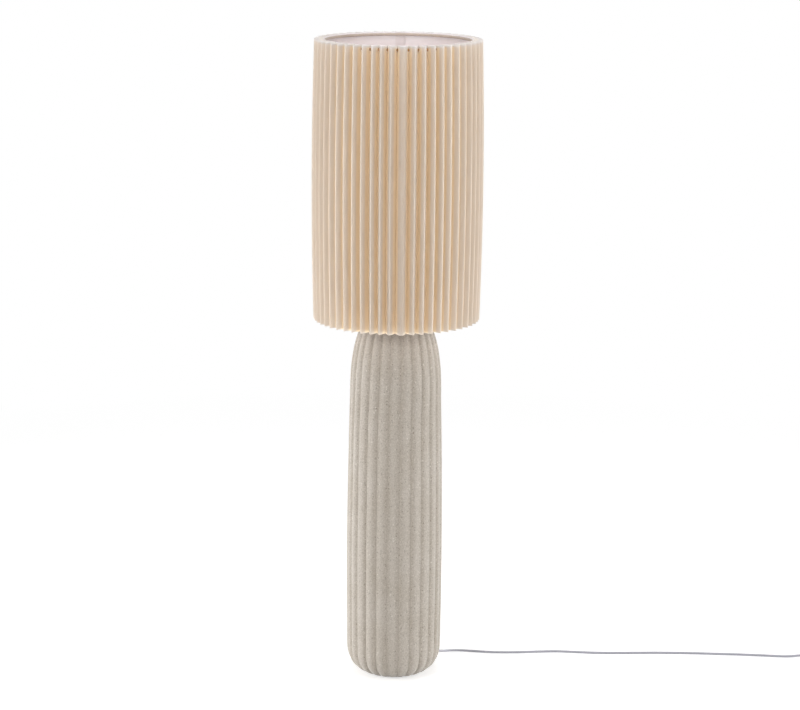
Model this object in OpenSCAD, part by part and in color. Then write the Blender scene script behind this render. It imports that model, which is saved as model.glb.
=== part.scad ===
// Floor lamp: a tall ribbed stoneware column that carries a pleated drum shade.
// The lamp's axis is Z, the floor is z = 0 and the front faces -Y. Millimetres.

/* [Stoneware body] */
// Radius over the ribs at the widest place
body_r = 87.5; // [80:0.5:100]
// Height of the flat top face above the floor
body_top = 695; // [600:5:760]
// Height of the widest place
belly_z = 250; // [180:5:320]
// How much narrower the radius is where the rounded foot edge begins
foot_in = 1; // [0:0.5:4]
// How much narrower the radius is where the shoulder begins
neck_in = 4.6; // [0:0.2:8]
// Height of the rounded foot edge
edge_h = 60; // [50:1:80]
// Fullness of the foot edge's curve, 2 is an ellipse
edge_n = 2.7; // [2:0.1:3]
// Radius at which the foot edge's curve would meet the floor
sole_r = 20; // [10:1:25]
// Height of the rounded shoulder
shoulder_h = 168; // [120:2:200]
// Fullness of the shoulder's curve, 2 is an ellipse
shoulder_n = 2.5; // [2:0.1:3]
// Radius of the flat top face
top_r = 28; // [25:0.5:32]
// Thickness of the fired wall, measured from the ribs' crests
wall = 9; // [7:0.5:12]
// Number of ribs round the body
rib_n = 25; // [20:1:32]
// Depth of the grooves between the ribs
rib_d = 3.4; // [1:0.2:4]
// How much deeper the grooves get where they run out under the foot
rib_foot = 2.4; // [0:0.2:3]
// How far the ribs are turned about the axis from a groove that faces the front
rib_turn = 5.7; // [0.5:0.1:14]

/* [Foot] */
// Thickness of the felt pad under the foot
pad_t = 2; // [1:0.5:4]
// Radius of the opening in the foot that takes the base plate
seat_r = 38; // [35:0.5:40]
// Width of the ledge above the base plate
ledge_w = 6; // [4:0.5:8]
// Thickness of that ledge
ledge_t = 7; // [5:0.5:9]
// Thickness of the steel base plate
plate_t = 3; // [2:0.5:4]
// Gap between the felt pad and the base plate
plate_lift = 2; // [1:0.5:4]
// Height of the threaded boss on the base plate
boss_h = 10; // [6:1:14]

/* [Column hardware] */
// Radius of the threaded rod
rod_r = 5; // [4.5:0.5:6]
// Wall of the threaded rod
rod_wall = 1.3; // [1:0.1:1.5]
// Radius of the metal cap on the top face
cap_r = 30; // [24:1:36]
// Thickness of the metal cap
cap_t = 3; // [2:0.5:5]
// Height of the neck tube
neck_h = 20; // [10:1:40]
// Radius of the neck tube
neck_r = 8; // [7.5:0.5:9]

/* [Lampholder] */
// Radius of the holder's shell
holder_r = 19.6; // [19:0.2:22]
// Height of the holder's lower cap
holder_cap_h = 20; // [17:1:26]
// Height of the holder's shell
shell_h = 44; // [42:1:48]
// Thickness of the shell and of the lower cap
shell_t = 1.8; // [1.4:0.1:2.2]
// Depth of the socket in the shell
socket_depth = 25; // [24:0.5:26]
// Radius of the shoulder that carries the shade
shoulder_r = 24; // [23:0.5:26]
// Thickness of that shoulder
shoulder_t = 3; // [2:0.5:4]
// Radius of the bulb's screw cap
screw_r = 13.2; // [13:0.1:13.4]
// Height of the clamp ring
clamp_h = 9; // [6:0.5:12]
// Radius of the clamp ring
clamp_r = 25.5; // [24:0.5:28]

/* [Bulb] */
// Largest radius of the glass
glass_r = 30; // [25:1:35]
// Length of the bulb with its cap
bulb_h = 108; // [104:1:120]
// Wall of the glass
glass_t = 1; // [0.8:0.1:1.5]

/* [Shade] */
// Height of the shade
shade_h = 500; // [400:5:560]
// Radius over the pleats at half height
shade_r = 152.5; // [146:0.5:165]
// How much narrower the pleats are at both edges
shade_in = 4; // [0:0.5:5]
// Number of pleats
pleat_n = 52; // [40:1:60]
// Thickness of the pleated cloth
cloth_t = 0.7; // [0.6:0.1:1]
// Depth of a pleat
pleat_d = 16.5; // [12:0.5:22]
// Thickness of the liner
liner_t = 0.6; // [0.5:0.1:1]
// How far the shade's lower edge hangs below the fitter ring
shade_drop = 75; // [60:1:100]
// Radius of the frame's two wire rings
wire_r = 1.6; // [1.4:0.1:2]
// Radius of the frame's three arms
arm_r = 1.3; // [1:0.1:1.3]
// Thickness of the fitter ring
fitter_t = 3; // [2:0.5:4]
// How far the fitter ring reaches past the holder's shoulder
fitter_w = 4; // [3:0.5:6]

/* [Cord] */
// Diameter of the cord
cord_d = 4.2; // [4:0.1:4.4]
// Direction in which the cord leaves the body, from +X towards +Y
exit_turn = 38; // [30:1:50]
// Height at which the cord leaves the body
exit_z = 22; // [21:0.5:26]
// Angle by which the cord's exit points down
exit_dip = 20; // [15:1:25]
// Length of the strain relief outside the body
relief_l = 24; // [20:1:26]
// Turns in the coil, a whole number and a half
coil_turns = 6.5; // [4.5:1:6.5]
// Radius of the coil's outermost turn
coil_r = 32.2; // [32:0.1:36]
// Distance from the switch's end to the coil's centre
coil_off = 40; // [38:1:60]
// Distance from the coil's centre to the tail of the plug
plug_off = 50; // [46:1:80]

/* [Foot switch] */
// Place of the switch's centre along X
switch_x = 845; // [830:1:870]
// Place of the switch's centre along Y
switch_y = 76; // [70:1:82]
// Length of the switch
switch_l = 74; // [73:1:76]
// Width of the switch
switch_w = 38; // [36:1:44]
// Height of the switch's case
switch_h = 24; // [23:0.5:28]
// Wall of the switch's shells
switch_wall = 2.2; // [1.8:0.2:2.6]
// Thickness of the rubber feet
foot_t = 1.2; // [1:0.1:2]
// Height of the joint between the two shells
split_z = 11; // [11:0.5:12]
// Radius of the round button
button_r = 12; // [11.5:0.5:13]
// How far the button stands out of the case
button_rise = 3.6; // [3.4:0.2:5]
// How far the button travels
travel = 3; // [2:0.1:3]

/* [Plug] */
// Length of the plug's body
plug_l = 34; // [32:1:36]
// Width of the plug's body
plug_w = 35.3; // [33:0.1:36]
// Thickness of the plug's body
plug_t = 13.7; // [13:0.1:15]
// Radius of the plug's pins
pin_r = 2; // [2:0.05:2.4]
// Length of the plug's pins
pin_l = 19; // [18:0.5:20]
// Length of the insulating sleeve on each pin
sleeve_l = 10; // [8:0.5:11]
// Distance between the pins' axes
pin_gap = 19; // [18:0.1:19.2]

/* [Hidden] */
$fn = 64;
eps = 0.01;

// Colours
stone_c = [0.74, 0.69, 0.63];
cloth_c = [0.86, 0.8, 0.7];
steel_c = [0.62, 0.63, 0.65];
brass_c = [0.78, 0.62, 0.34];
grey_c = [0.62, 0.63, 0.66];

// Stoneware outline
foot_w = body_r - foot_in;
shoulder_w = body_r - neck_in;
shoulder_z = body_top - shoulder_h;
dome_h = shoulder_h / pow(1 - pow(top_r / shoulder_w, shoulder_n), 1 / shoulder_n);
foot_turn = acos(pow(1 - pad_t / edge_h, edge_n / 2));
top_turn = acos(pow(top_r / shoulder_w, shoulder_n / 2));
side_in = function (z) z < belly_z ? foot_in * pow((belly_z - z) / (belly_z - edge_h), 2)
  : neck_in * pow((z - belly_z) / (shoulder_z - belly_z), 1.5);
side_z = [edge_h + (belly_z - edge_h) / 2, belly_z,
  belly_z + (shoulder_z - belly_z) / 3, belly_z + (shoulder_z - belly_z) * 2 / 3];
edge_steps = 8;
shoulder_steps = 9;
outline = concat(
  [for (i = [0:edge_steps])
    let (t = foot_turn + (90 - foot_turn) * i / edge_steps)
    [sole_r + (foot_w - sole_r) * pow(sin(t), 2 / edge_n), edge_h * (1 - pow(cos(t), 2 / edge_n))]],
  [for (z = side_z) [body_r - side_in(z), z]],
  [for (i = [0:shoulder_steps])
    let (t = top_turn * i / shoulder_steps)
    [shoulder_w * pow(cos(t), 2 / shoulder_n), shoulder_z + dome_h * pow(sin(t), 2 / shoulder_n)]]);

// Depth of a groove at a point of the outline
groove_d = function (p)
  rib_d * p[0] / body_r + rib_foot * pow(max(1 - p[1] / edge_h, 0), 2);

// Foot opening and cavity
pad_in = 0.5;
pad_r = outline[0][0] - groove_d(outline[0]) - pad_in;
seat_gap = 0.5;
boss_w = 3;
plate_z = pad_t + plate_lift;
ledge_z = plate_z + plate_t;
ledge_r = seat_r - ledge_w;
floor_z = ledge_z + ledge_t;
ceiling_z = body_top - wall;
ceiling_turn = asin(pow((ceiling_z - shoulder_z) / (dome_h - wall), shoulder_n / 2));
cavity = concat([[0, floor_z]],
  [for (i = [0:edge_steps])
    let (t = 90 * i / edge_steps)
    [ledge_r + (foot_w - wall - ledge_r) * pow(sin(t), 2 / edge_n),
      edge_h - (edge_h - floor_z) * pow(cos(t), 2 / edge_n)]],
  [for (z = side_z) [body_r - wall - side_in(z), z]],
  [for (i = [0:shoulder_steps])
    let (t = ceiling_turn * i / shoulder_steps)
    [(shoulder_w - wall) * pow(cos(t), 2 / shoulder_n),
      shoulder_z + (dome_h - wall) * pow(sin(t), 2 / shoulder_n)]],
  [[0, ceiling_z]]);

// Column and lampholder
cap_z = body_top;
neck_z = cap_z + cap_t;
holder_z = neck_z + neck_h;
shell_z = holder_z + holder_cap_h;
collar_h = 6;
rod_top = holder_z + holder_cap_h / 2;
rod_bore = rod_r - rod_wall;
rod_fit = 0.2;
rod_play = 0.5;
shoulder_up = 7;
terminal_h = 6;
shoulder_top = shell_z + shoulder_up;
insert_z = shell_z + terminal_h;
insert_r = holder_r - shell_t;
socket_z = shell_z + shell_h - socket_depth;
socket_r = screw_r + 1;
screw_shell_r = screw_r + 0.3;
contact_h = 1.5;
terminal_x = 11;
terminal_l = 8;
terminal_w = 5;
terminal_screw_r = 1.25;
terminal_screw_y = 2;

// Bulb
bulb_z = socket_z + contact_h;
bulb_cap_l = 27;
insulator_h = 3;
glass_z = bulb_z + bulb_cap_l - 2;
bulb_top = bulb_z + bulb_h;
globe_z = bulb_top - glass_r;

// Shade
fitter_z = shoulder_top;
clamp_z = fitter_z + fitter_t;
shade_z = fitter_z - shade_drop;
shade_top = shade_z + shade_h;
fold_r = shade_r - shade_in - pleat_d;
fold_gap = 0.2;
liner_r = fold_r - fold_gap - liner_t;
ring_gap = 0.1;
ring_r = liner_r - ring_gap - wire_r;
edge_gap = 4;
lower_ring_z = shade_z + edge_gap;
upper_ring_z = shade_top - edge_gap;
fitter_gap = 0.4;
fitter_bore = holder_r + fitter_gap;
arm_z = fitter_z + fitter_t / 2;
fitter_r = shoulder_r + fitter_w;
arm_run = ring_r - fitter_r + 1;
arm_fall = arm_z - lower_ring_z;
arm_count = 3;

// Cord
cord_r = cord_d / 2;
bore_r = cord_r + 0.05;
exit_s = 1 - exit_z / edge_h;
exit_r = sole_r + (foot_w - sole_r) * pow(1 - pow(exit_s, edge_n), 1 / edge_n);
exit_p = [exit_r * cos(exit_turn), exit_r * sin(exit_turn), exit_z];
exit_d = [cos(exit_dip) * cos(exit_turn), cos(exit_dip) * sin(exit_turn), -sin(exit_dip)];
tip_p = exit_p + relief_l * exit_d;
relief_in = 18;
exit_bore = 4.5;
cable_z = 6.5;
entry_x = switch_x - switch_l / 2;
leave_x = switch_x + switch_l / 2;
entry_p = [entry_x, switch_y, cable_z];
leave_p = [leave_x, switch_y, cable_z];
sleeve_out = 10;
// The cord's route over the floor: place, and how far its underside is off the floor
run_points = [[92, 73, 7.1], [106, 84.5, 3.7], [123, 92, 1.4], [143, 93.5, 0.2], [168, 90, 0],
  [195, 87, 0], [235, 88, 0], [275, 92.5, 0], [308, 95, 0], [338, 93, 0], [370, 89.5, 0],
  [410, 88.5, 0], [455, 90, 0], [510, 92, 0], [560, 91.5, 0], [610, 89, 0], [660, 86, 0],
  [705, 82, 0], [745, 78, 0.1], [768, 76.4, 2.5]];
run_route = concat([tip_p], [for (p = run_points) p + [0, 0, cord_r]],
  [for (back = [sleeve_out + 14, sleeve_out, -4]) entry_p - [back, 0, 0]]);
coil_x = leave_x + coil_off;
coil_y = switch_y + coil_r;
coil_pitch = cord_d + 0.5;
layer_h = cord_d + 0.45;
coil_steps = 24;
coil_rise = function (turn)
  let (part = min(max((turn - coil_turns / 2 + 0.25) / 0.5, 0), 1)) (1 - cos(180 * part)) / 2;
coil_path = concat([[coil_x - cord_d, coil_y - coil_r, cord_r]],
  [for (i = [0:round(coil_turns * coil_steps)])
    let (turn = i / coil_steps,
      r = coil_r - coil_pitch * (coil_turns / 2 - abs(turn - coil_turns / 2)),
      a = 360 * turn - 90)
    [coil_x + r * cos(a), coil_y + r * sin(a), cord_r + layer_h * coil_rise(turn)]],
  [[coil_x - cord_d, coil_y + coil_r, cord_r + layer_h]]);
tail_l = 24;
tail_in = 4;
tail_r = 3.6;
tail_x = coil_x - plug_off;
plug_x = tail_x - tail_l - plug_l;
plug_y = coil_y + coil_r;
plug_z = plug_t / 2;
coil_lead_route = [leave_p - [4, 0, 0], leave_p + [sleeve_out, 0, 0], leave_p + [sleeve_out + 8, 0, -0.9],
  coil_path[0] - [9, 0, -0.8], coil_path[0] - [4, 0, 0], coil_path[0]];
coil_end = coil_path[len(coil_path) - 1];
plug_lead_route = [coil_end, coil_end - [5, 0, 0], coil_end - [14, 0, 0.9], coil_end - [24, 0, 1.5],
  [tail_x + 12, plug_y, plug_z - 1], [tail_x + 4, plug_y, plug_z], [tail_x, plug_y, plug_z]];

// The least distance between the surfaces of turns that aren't next to each other on the path
coil_gap = min([for (i = [0:len(coil_path) - 1])
  for (j = [i + coil_steps / 2:len(coil_path) - 1]) norm(coil_path[i] - coil_path[j])]) - cord_d;
echo(coil_gap = coil_gap);

// Foot switch, in its own frame with the origin on the floor under its centre
button_hole = button_r + 0.3;
shell_top = foot_t + switch_h;
deck_z = shell_top - switch_wall;
tray_z = foot_t + switch_wall;
flange_r = button_r + 2;
flange_t = 1.5;
flange_z = deck_z - flange_t;
stem_r = 3;
bridge_t = 0.8;
bridge_l = 12;
bridge_w = 5;
blade_t = 0.8;
blade_w = 6;
post_x = 4.5;
post_z = tray_z + 2.8;
bridge_z = post_z + travel + 0.2;
spring_r = 8.5;
spring_wire = 0.6;
spring_turns = 4;
spring_z = tray_z + 3.8;
screw_x = 24;
screw_y = 12;
screw_shank = 1.5;
screw_head = 2.7;
screw_fit = 0.1;
screw_boss = 3;
cable_hole = 3.6;
cable_fit = 0.1;

function unit(v) = v / norm(v);

// Points of a smooth curve through every point of route, with steps points to a span
function smooth(route, steps) =
  let (n = len(route),
    p = concat([2 * route[0] - route[1]], route, [2 * route[n - 1] - route[n - 2]]))
  concat([for (i = [1:n - 1]) for (k = [0:steps - 1])
    let (t = k / steps, a = p[i - 1], b = p[i], c = p[i + 1], d = p[i + 2])
    (2 * b + (c - a) * t + (2 * a - 5 * b + 4 * c - d) * t * t
      + (3 * b - a - 3 * c + d) * t * t * t) / 2], [route[n - 1]]);

// A tube of radius r along path; side is a direction that the path never runs along
module tube(path, r, sides, side = [0, 0, 1]) {
  n = len(path);
  way = [for (i = [0:n - 1]) unit(path[min(i + 1, n - 1)] - path[max(i - 1, 0)])];
  points = [for (i = [0:n - 1])
    let (u = unit(cross(way[i], side)), v = cross(u, way[i]))
    for (k = [0:sides - 1])
      let (a = 360 * (k + 0.5) / sides) path[i] + r * (cos(a) * u + sin(a) * v)];
  walls = [for (i = [0:n - 2]) for (k = [0:sides - 1])
    let (a = i * sides + k, b = i * sides + (k + 1) % sides)
    each [[a, a + sides, b], [b, a + sides, b + sides]]];
  first = [for (k = [0:sides - 1]) k];
  last = [for (k = [sides - 1:-1:0]) (n - 1) * sides + k];
  polyhedron(points, concat(walls, [first], [last]));
}

module ring_solid(outer, inner, h) {
  difference() {
    cylinder(r = outer, h = h);
    translate([0, 0, -1]) cylinder(r = inner, h = h + 2);
  }
}

// Stoneware

// Each row is a radius, a height and the grooves' depth there; the flat ends run in to plain rings
module ribbed_form() {
  per_rib = 4;
  n = rib_n * per_rib;
  end = outline[len(outline) - 1];
  rows = concat([[seat_r + 2, outline[0][1], 0]], [for (p = outline) [p[0], p[1], groove_d(p)]],
    [[end[0] / 2, end[1], 0]]);
  points = [for (row = rows) for (k = [0:n - 1])
    let (across = (k % per_rib) / per_rib, r = row[0] - row[2] * pow(2 * across - 1, 2),
      a = 360 * k / n - 90 + rib_turn)
    [r * cos(a), r * sin(a), row[1]]];
  walls = [for (i = [0:len(rows) - 2]) for (k = [0:n - 1])
    let (a = i * n + k, b = i * n + (k + 1) % n)
    each [[a, a + n, b], [b, a + n, b + n]]];
  bottom = [for (k = [0:n - 1]) k];
  top = [for (k = [n - 1:-1:0]) (len(rows) - 1) * n + k];
  polyhedron(points, concat(walls, [bottom], [top]));
}

module along_exit() {
  translate(exit_p) rotate([0, 0, exit_turn]) rotate([0, 90 + exit_dip, 0]) children();
}

module stoneware_body() {
  color(stone_c) difference() {
    ribbed_form();
    rotate_extrude() polygon(cavity);
    translate([0, 0, pad_t - 1]) cylinder(r = seat_r, h = ledge_z - pad_t + 1);
    translate([0, 0, ledge_z - 1]) cylinder(r = ledge_r, h = floor_z - ledge_z + 2);
    translate([0, 0, ceiling_z - 1]) cylinder(r = rod_r + rod_play, h = wall + 2);
    along_exit() translate([0, 0, -relief_in - 8]) cylinder(r = exit_bore, h = relief_in + 18);
  }
}

// Foot

module felt_pad() {
  color([0.25, 0.24, 0.23]) cylinder(r = pad_r, h = pad_t);
}

module base_plate() {
  color(steel_c) difference() {
    union() {
      translate([0, 0, plate_z]) cylinder(r = seat_r - seat_gap, h = plate_t);
      translate([0, 0, ledge_z]) cylinder(r = rod_r + boss_w, h = boss_h);
    }
    translate([0, 0, plate_z - 1]) cylinder(r = rod_r, h = plate_t + boss_h + 2);
  }
}

// Column hardware

module threaded_rod() {
  slot_z = 74;
  slot_h = 30;
  slot_w = 7;
  color(steel_c) difference() {
    translate([0, 0, plate_z]) ring_solid(rod_r, rod_bore, rod_top - plate_z);
    rotate([0, 0, exit_turn]) translate([0, -slot_w / 2, slot_z]) cube([rod_r + 1, slot_w, slot_h]);
  }
}

module top_cap() {
  edge = 1;
  color(brass_c) rotate_extrude() polygon([[rod_r + rod_fit, cap_z], [cap_r, cap_z],
    [cap_r, cap_z + edge], [cap_r - edge, cap_z + 1.6 * edge], [neck_r + 4, cap_z + cap_t],
    [rod_r + rod_fit, cap_z + cap_t]]);
}

module neck_tube() {
  color(brass_c) translate([0, 0, neck_z]) ring_solid(neck_r, rod_r + rod_fit, neck_h);
}

// Lampholder

module holder_cap() {
  steps = 6;
  dome = [for (i = [0:steps])
    let (t = 90 * i / steps)
    [neck_r + (holder_r - neck_r) * sin(t), holder_z + 2 + (holder_cap_h - 2) * (1 - cos(t))]];
  hollow = [for (i = [steps:-1:0])
    let (t = 90 * i / steps)
    [neck_r + (holder_r - shell_t - neck_r) * sin(t),
      holder_z + 2 + shell_t + (holder_cap_h - 2 - shell_t) * (1 - cos(t))]];
  color("whitesmoke") rotate_extrude() polygon(concat([[rod_r, holder_z], [neck_r, holder_z]],
    dome, hollow, [[neck_r, holder_z + collar_h], [rod_r, holder_z + collar_h]]));
}

module holder_shell() {
  color("whitesmoke") {
    rotate_extrude() polygon([[insert_r, shell_z], [holder_r, shell_z],
      [holder_r, shoulder_top - shoulder_t], [shoulder_r, shoulder_top - shoulder_t],
      [shoulder_r, shoulder_top], [holder_r, shoulder_top], [holder_r, shell_z + shell_h],
      [insert_r, shell_z + shell_h]]);
  }
}

module holder_insert() {
  color("white") difference() {
    translate([0, 0, insert_z]) cylinder(r = insert_r, h = shell_z + shell_h - insert_z);
    translate([0, 0, socket_z]) cylinder(r = socket_r, h = shell_h);
  }
}

module holder_screw_shell() {
  color(brass_c) translate([0, 0, socket_z + 3])
    ring_solid(socket_r, screw_shell_r, shell_z + shell_h - socket_z - 4);
}

module holder_contact() {
  color(brass_c) translate([-4, -3, socket_z]) cube([8, 6, contact_h]);
}

module holder_terminals() {
  h = insert_z - shell_z;
  wire_hole = 1.3;
  color(brass_c) for (side = [-1, 1])
    difference() {
      translate([side * terminal_x - terminal_w / 2, -terminal_l / 2, shell_z])
        cube([terminal_w, terminal_l, h]);
      translate([side * terminal_x, -terminal_l / 2 - 1, shell_z + h / 2]) rotate([-90, 0, 0])
        cylinder(r = wire_hole, h = terminal_l / 2 + 1);
      translate([side * terminal_x, terminal_screw_y, shell_z - 1])
        cylinder(r = terminal_screw_r, h = h - 1);
    }
}

module terminal_screws() {
  h = insert_z - shell_z;
  head_h = 1.2;
  color(steel_c) for (side = [-1, 1])
    translate([side * terminal_x, terminal_screw_y, 0]) {
      translate([0, 0, shell_z]) cylinder(r = terminal_screw_r, h = h - 2);
      translate([0, 0, shell_z - head_h]) cylinder(r = 2, h = head_h);
    }
}

module clamp_ring() {
  notches = 16;
  notch_r = 2;
  color("whitesmoke") translate([0, 0, clamp_z]) difference() {
    cylinder(r = clamp_r, h = clamp_h);
    translate([0, 0, -1]) cylinder(r = fitter_bore, h = clamp_h + 2);
    for (i = [0:notches - 1]) rotate([0, 0, 360 * i / notches])
      translate([clamp_r + notch_r / 2, 0, -1]) cylinder(r = notch_r, h = clamp_h + 2, $fn = 16);
  }
}

// Bulb

module bulb_glass() {
  neck = screw_r;
  lower_z = glass_z;
  steps = 10;
  function globe(r, z0) = concat(
    [for (i = [0:steps])
      let (s = i / steps, z = z0 + (globe_z - z0) * s)
      [neck - (glass_r - r) + (glass_r - neck) * (1 - cos(180 * s)) / 2, z]],
    [for (i = [1:steps]) let (a = 90 * i / steps) [r * cos(a), globe_z + r * sin(a)]]);
  outer = globe(glass_r, lower_z);
  inner = globe(glass_r - glass_t, lower_z);
  color([0.96, 0.95, 0.92]) rotate_extrude() difference() {
    polygon(concat([[0, lower_z]], outer));
    polygon(concat([[0, lower_z - 1], [inner[0][0], lower_z - 1]], inner));
  }
}

module bulb_cap() {
  grooves = 4;
  lead = 3.6;
  groove_d = 0.8;
  low = bulb_z + insulator_h;
  side = [for (i = [0:grooves - 1]) each [[screw_r, low + 2 + lead * i],
    [screw_r - groove_d, low + 2 + lead * (i + 0.5)]]];
  color(steel_c) rotate_extrude() polygon(concat(
    [[0, low], [screw_r - 2, low]], side,
    [[screw_r, low + 2 + lead * grooves], [screw_r, glass_z], [0, glass_z]]));
}

module bulb_contact() {
  color(brass_c) translate([0, 0, bulb_z]) cylinder(r1 = 4.5, r2 = 7, h = insulator_h);
}

// Shade

module lower_frame() {
  tilt = atan2(arm_run, arm_fall);
  arm_l = norm([arm_run, arm_fall]);
  color(steel_c) difference() {
    union() {
      translate([0, 0, lower_ring_z]) rotate_extrude() translate([ring_r, 0])
        circle(r = wire_r, $fn = 16);
      for (i = [0:arm_count - 1]) rotate([0, 0, 90 + 360 * i / arm_count])
        translate([fitter_r - 1, 0, arm_z]) rotate([0, 180 - tilt, 0])
          cylinder(r = arm_r, h = arm_l, $fn = 16);
      translate([0, 0, fitter_z]) cylinder(r = fitter_r, h = fitter_t);
    }
    translate([0, 0, fitter_z - 5]) cylinder(r = fitter_bore, h = fitter_t + 10);
  }
}

module upper_ring() {
  color(steel_c) translate([0, 0, upper_ring_z]) rotate_extrude() translate([ring_r, 0])
    circle(r = wire_r, $fn = 16);
}

module shade_liner() {
  color([0.95, 0.9, 0.87]) translate([0, 0, shade_z])
    ring_solid(liner_r + liner_t, liner_r, shade_h, $fn = 128);
}

module shade_pleats() {
  bands = 4;
  n = 2 * pleat_n;
  flank_w = PI * (shade_r - pleat_d / 2) / pleat_n;
  skin = cloth_t * norm([flank_w, pleat_d]) / flank_w;
  points = [for (b = [0:bands])
    let (s = 2 * b / bands - 1, crest = shade_r - shade_in * s * s, z = shade_z + shade_h * b / bands)
    for (layer = [0, skin]) for (k = [0:n - 1])
      let (r = crest - (k % 2 == 0 ? pleat_d : skin) + layer, a = 360 * k / n - 90)
      [r * cos(a), r * sin(a), z]];
  walls = [for (b = [0:bands - 1]) for (k = [0:n - 1])
    let (i = 2 * n * b + k, j = 2 * n * b + (k + 1) % n, up = 2 * n)
    each [[i, j, i + up], [j, j + up, i + up],
      [i + n, i + n + up, j + n], [j + n, i + n + up, j + n + up]]];
  top = 2 * n * bands;
  rims = [for (k = [0:n - 1])
    let (j = (k + 1) % n)
    each [[k, k + n, j], [j, k + n, j + n],
      [top + k, top + j, top + k + n], [top + j, top + j + n, top + k + n]]];
  color(cloth_c) polyhedron(points, concat(walls, rims));
}

// Cord

module inner_flex() {
  cut = [cos(exit_turn), sin(exit_turn), 0];
  side = [-sin(exit_turn), cos(exit_turn), 0];
  straight = [for (back = [-relief_l, 0, relief_in + 1, relief_in + 8]) exit_p - back * exit_d];
  bend = [for (p = [[43, 35], [34, 41], [26, 49], [18, 60], [11.5, 73], [6, 87], [1.5, 101]])
    p[0] * cut + [0, 0, p[1]]];
  route = concat(straight, bend, [[0, 0, 114], [0, 0, 130]]);
  color(grey_c) tube(concat(smooth(route, 2), [[0, 0, rod_top]]), cord_r, 8, side);
}

module strain_relief() {
  ribs = 4;
  neck = exit_bore - 0.1;
  lock = 5.8;
  flange = 1.6;
  color(grey_c) along_exit() rotate_extrude() polygon(concat(
    [[bore_r, -relief_in], [neck, -relief_in], [lock, 2 - relief_in], [lock, 3.5 - relief_in],
      [neck, 3.5 - relief_in], [neck, flange], [6.5, flange], [6.5, flange + 3]],
    [for (i = [0:ribs]) let (z = flange + 4 + (relief_l - flange - 6) * i / ribs, r = 5.2 - 1.9 * i / ribs)
      each [[r, z], [r - 0.6, z + 1]]],
    [[bore_r, relief_l]]));
}

module cord_run() {
  color(grey_c) tube(smooth(run_route, 3), cord_r, 8);
}

module coil_lead() {
  color(grey_c) tube(smooth(coil_lead_route, 1), cord_r, 8);
}

module cord_coil() {
  color(grey_c) tube(coil_path, cord_r, 6);
}

module plug_lead() {
  color(grey_c) tube(smooth(plug_lead_route, 1), cord_r, 8);
}

// Foot switch

module at_switch() {
  translate([switch_x, switch_y, 0]) children();
}

// A pill from z0 to z1, whose upper edge has the radius edge
module pill(l, w, z0, z1, edge) {
  r = w / 2;
  steps = 6;
  corner = edge > 0 ? [for (i = [0:steps]) let (a = 90 * i / steps)
    [r - edge + edge * cos(a), z1 - edge + edge * sin(a)]] : [[r, z1]];
  side = concat([[0, z0], [r, z0]], corner, [[0, z1]]);
  whole = concat([for (p = corner) p], [for (i = [len(corner) - 1:-1:0]) [-corner[i][0], corner[i][1]]],
    [[-r, z0], [r, z0]]);
  for (end = [-1, 1]) translate([end * (l / 2 - r), 0, 0]) rotate_extrude() polygon(side);
  translate([-(l / 2 - r), 0, 0]) rotate([90, 0, 90]) linear_extrude(l - w) polygon(whole);
}

module at_screws() {
  for (side = [-1, 1]) translate([side * screw_x, side * screw_y, 0]) children();
}

module switch_lower_shell() {
  color(grey_c) at_switch() difference() {
    union() {
      difference() {
        pill(switch_l, switch_w, foot_t, split_z, 0);
        pill(switch_l - 2 * switch_wall, switch_w - 2 * switch_wall, tray_z, split_z + 1, 0);
      }
      translate([0, 0, tray_z - eps]) cylinder(r = spring_r + 1.2, h = spring_z - tray_z + eps);
      at_screws() translate([0, 0, tray_z - eps]) cylinder(r = screw_boss, h = split_z - tray_z + eps);
    }
    translate([0, 0, tray_z]) cylinder(r = spring_r - 1.2, h = 10);
    translate([-switch_l / 4, -blade_w / 2 - 0.3, tray_z]) cube([switch_l / 2, blade_w + 0.6, 10]);
    at_screws() cylinder(r = screw_shank + screw_fit, h = split_z + 1);
    at_screws() cylinder(r = screw_head + screw_fit, h = foot_t + 1.5);
    for (side = [0, 180]) rotate([0, 0, side]) translate([-switch_l / 2 - 1, 0, cable_z])
      rotate([0, 90, 0]) cylinder(r = cable_hole, h = switch_wall + 2);
  }
}

module switch_upper_shell() {
  color(grey_c) at_switch() difference() {
    union() {
      difference() {
        pill(switch_l, switch_w, split_z, shell_top, 6);
        pill(switch_l - 2 * switch_wall, switch_w - 2 * switch_wall, split_z - 1, deck_z, 2);
      }
      at_screws() translate([0, 0, split_z]) cylinder(r = screw_boss, h = deck_z - split_z + 1);
    }
    translate([0, 0, split_z]) cylinder(r = button_hole, h = switch_h);
    at_screws() translate([0, 0, split_z - 1]) cylinder(r = screw_shank, h = 7);
  }
}

module switch_feet() {
  color([0.3, 0.3, 0.3]) at_switch() for (x = [-1, 1], y = [-1, 1])
    translate([x * switch_l / 5, y * switch_w / 3.6, 0]) cylinder(r = 3.2, h = foot_t);
}

module switch_sleeves() {
  plug_in = cable_hole - cable_fit;
  color(grey_c) at_switch() for (side = [0, 180]) rotate([0, 0, side])
    translate([-switch_l / 2, 0, cable_z]) rotate([0, -90, 0]) rotate_extrude()
      polygon([[bore_r, -switch_wall], [plug_in, -switch_wall], [plug_in, 0], [4.8, 0], [4.8, 2],
        [3.1, sleeve_out], [bore_r, sleeve_out]]);
}

module switch_contacts() {
  reach = switch_l / 4;
  color(brass_c) at_switch() for (side = [0, 180]) rotate([0, 0, side]) {
    translate([post_x - 1, -blade_w / 2, tray_z]) cube([reach - post_x, blade_w, blade_t]);
    translate([post_x - 1, -blade_w / 2, tray_z]) cube([2, blade_w, post_z - tray_z]);
    translate([reach - 6, -blade_w / 2, tray_z]) cube([5, blade_w, 4]);
  }
}

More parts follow.
